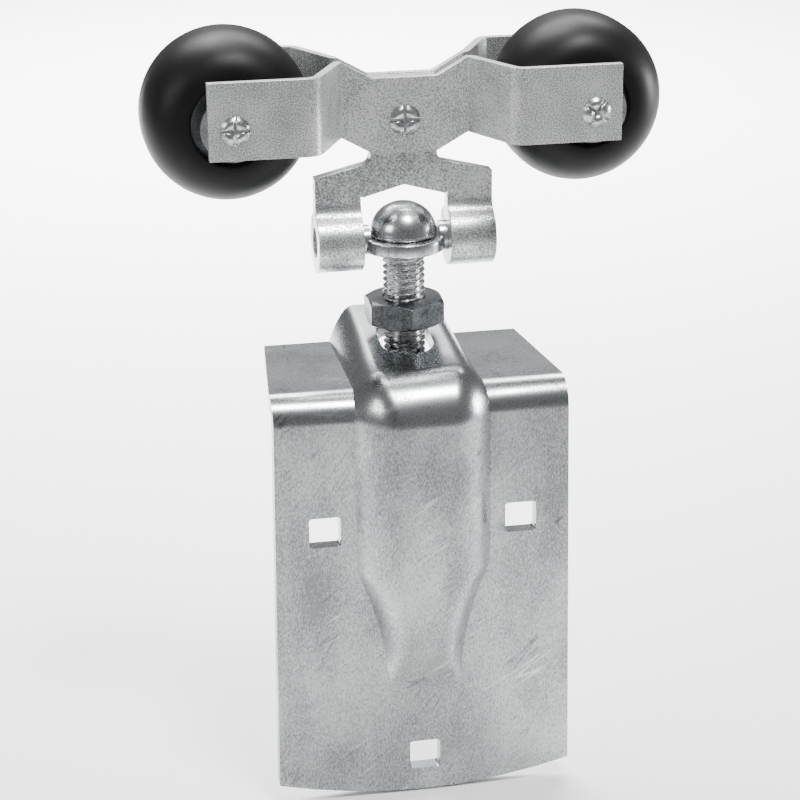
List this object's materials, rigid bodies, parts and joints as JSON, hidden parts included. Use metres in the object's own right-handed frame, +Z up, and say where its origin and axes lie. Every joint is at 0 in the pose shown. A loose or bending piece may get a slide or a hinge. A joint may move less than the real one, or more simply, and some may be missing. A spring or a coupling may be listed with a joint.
{
  "type": "sliding door roller",
  "caption": "Wheeled trolley for a hung sliding door, with a hinged trunnion, a threaded hanger bolt and a pressed angle bracket that bolts over the door's top corner.",
  "frame": {"origin": "mid-plane of the trolley, midway between the wheels, level with the bottom of the wheel treads where they stand on the rail", "axes": "+X along the rail to the right, -Y out of the front face of the door, +Z up"},
  "size_m": [0.1535, 0.0626, 0.2369],
  "materials": {
    "zinc_plate": "zinc plated, fine bright grain",
    "rivet_steel": "zinc plated, staked",
    "black_nylon": "smooth moulded black nylon",
    "bearing_steel": "dark pressed steel",
    "ball_steel": "polished bearing steel",
    "bright_zinc": "bright zinc",
    "nut_zinc": "dull zinc",
    "galvanised_sheet": "galvanised, scuffed"
  },
  "bodies": {
    "trolley": {"front_trolley_plate": "zinc_plate", "rear_trolley_plate": "zinc_plate", "pendant_plate": "zinc_plate", "centre_rivet": "rivet_steel", "left_axle": "rivet_steel", "right_axle": "rivet_steel", "left_bearing_cone": "bearing_steel", "right_bearing_cone": "bearing_steel", "left_thrust_washers": "rivet_steel", "right_thrust_washers": "rivet_steel"},
    "left_wheel_unit": {"left_wheel": "black_nylon", "left_bearing_cup": "bearing_steel"},
    "right_wheel_unit": {"right_wheel": "black_nylon", "right_bearing_cup": "bearing_steel"},
    "left_balls": {"left_ball_set": "ball_steel"},
    "right_balls": {"right_ball_set": "ball_steel"},
    "trunnion": {"trunnion_plate": "bright_zinc"},
    "hanger": {"hanger_bolt": "bright_zinc", "captive_nut": "nut_zinc"},
    "lock": {"jam_nut": "nut_zinc"},
    "bracket": {"door_bracket": "galvanised_sheet"}
  },
  "joints": [
    {"name": "left_wheel_spin", "type": "hinge", "parent": "trolley", "child": "left_wheel_unit", "pos_m": [-0.052, 0, 0.02475], "axis": [0, 1, 0], "continuous": true},
    {"name": "right_wheel_spin", "type": "hinge", "parent": "trolley", "child": "right_wheel_unit", "pos_m": [0.052, 0, 0.02475], "axis": [0, 1, 0], "continuous": true},
    {"name": "left_ball_orbit", "type": "hinge", "parent": "trolley", "child": "left_balls", "pos_m": [-0.052, 0, 0.02475], "axis": [0, 1, 0], "continuous": true},
    {"name": "right_ball_orbit", "type": "hinge", "parent": "trolley", "child": "right_balls", "pos_m": [0.052, 0, 0.02475], "axis": [0, 1, 0], "continuous": true},
    {"name": "knuckle_tilt", "type": "hinge", "parent": "trolley", "child": "trunnion", "pos_m": [0, 0, -0.01605], "axis": [1, 0, 0], "range_deg": [-100, 100]},
    {"name": "bolt_swivel", "type": "hinge", "parent": "trunnion", "child": "hanger", "pos_m": [0, 0, -0.01605], "axis": [0, 0, 1], "continuous": true},
    {"name": "jam_nut_travel", "type": "slide", "parent": "hanger", "child": "lock", "axis": [0, 0, 1], "range_m": [-0.0026, 0.0135]},
    {"name": "bracket_shift", "type": "slide", "parent": "hanger", "child": "bracket", "axis": [0, 1, 0], "range_m": [-0.0055, 0.0055]}
  ],
  "couplings": [
    {"joint": "left_ball_orbit", "follows": "left_wheel_spin", "ratio": 0.5886},
    {"joint": "right_ball_orbit", "follows": "right_wheel_spin", "ratio": 0.5886}
  ]
}
